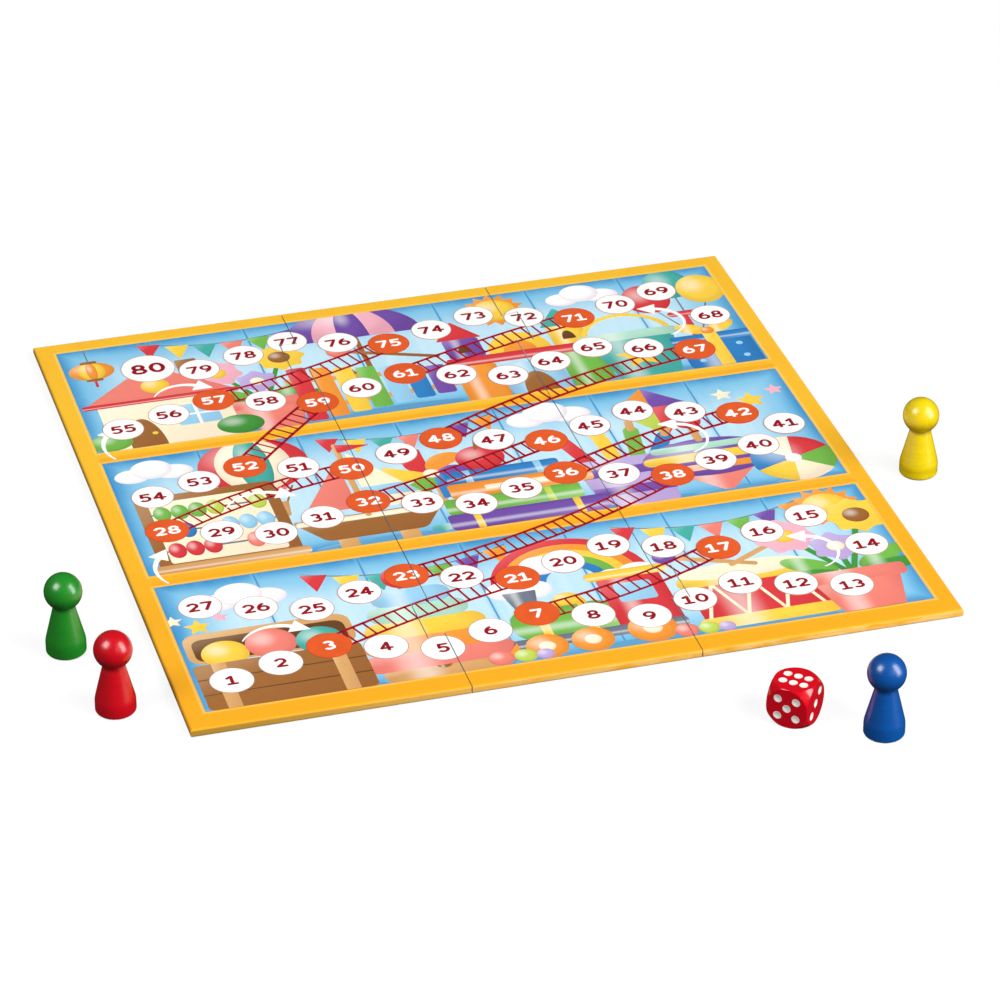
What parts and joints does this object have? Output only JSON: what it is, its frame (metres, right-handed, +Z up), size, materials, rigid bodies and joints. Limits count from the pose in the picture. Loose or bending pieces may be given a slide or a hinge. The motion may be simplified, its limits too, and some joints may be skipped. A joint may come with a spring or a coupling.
{
  "type": "snakes and ladders board",
  "caption": "Square board game of dovetailed cardboard panels that lift apart, printed with numbered discs and ladders, with lacquered wooden pawns and a die beside it.",
  "frame": {"origin": "middle of the joined board's underside, on the table", "axes": "+X to the right along the board's front edge, +Y to its back edge, +Z up"},
  "size_m": [0.2766, 0.2805, 0.025],
  "materials": {
    "grey_board": "matte",
    "printed_sheet": "satin",
    "back_liner": "matte",
    "green_lacquer": "gloss",
    "red_lacquer": "gloss",
    "yellow_lacquer": "gloss",
    "blue_lacquer": "gloss",
    "die_red": "gloss",
    "pip_white": "satin"
  },
  "bodies": {
    "centre_panel": {"centre_panel_core": "grey_board", "centre_printed_sheet": "printed_sheet", "centre_back_liner": "back_liner"},
    "left_panel": {"left_panel_core": "grey_board", "left_printed_sheet": "printed_sheet", "left_back_liner": "back_liner"},
    "right_panel": {"right_panel_core": "grey_board", "right_printed_sheet": "printed_sheet", "right_back_liner": "back_liner"},
    "green_pawn": {"pawn_green": "green_lacquer"},
    "red_pawn": {"pawn_red": "red_lacquer"},
    "yellow_pawn": {"pawn_yellow": "yellow_lacquer"},
    "blue_pawn": {"pawn_blue": "blue_lacquer"},
    "die": {"die_body": "die_red", "die_pips": "pip_white"}
  },
  "joints": [
    {"name": "left_panel_lift", "type": "slide", "parent": "centre_panel", "child": "left_panel", "axis": [0, 0, 1], "range_m": [0, 0.03]},
    {"name": "right_panel_lift", "type": "slide", "parent": "centre_panel", "child": "right_panel", "axis": [0, 0, 1], "range_m": [0, 0.03]},
    {"name": "green_pawn_lift", "type": "slide", "parent": "centre_panel", "child": "green_pawn", "axis": [0, 0, 1], "range_m": [0, 0.05]},
    {"name": "red_pawn_lift", "type": "slide", "parent": "centre_panel", "child": "red_pawn", "axis": [0, 0, 1], "range_m": [0, 0.05]},
    {"name": "yellow_pawn_lift", "type": "slide", "parent": "centre_panel", "child": "yellow_pawn", "axis": [0, 0, 1], "range_m": [0, 0.05]},
    {"name": "blue_pawn_lift", "type": "slide", "parent": "centre_panel", "child": "blue_pawn", "axis": [0, 0, 1], "range_m": [0, 0.05]},
    {"name": "die_tip", "type": "hinge", "parent": "centre_panel", "child": "die", "pos_m": [0.04532, -0.15243, 0], "axis": [0.7431, -0.6691, 0], "range_deg": [0, 90]}
  ]
}
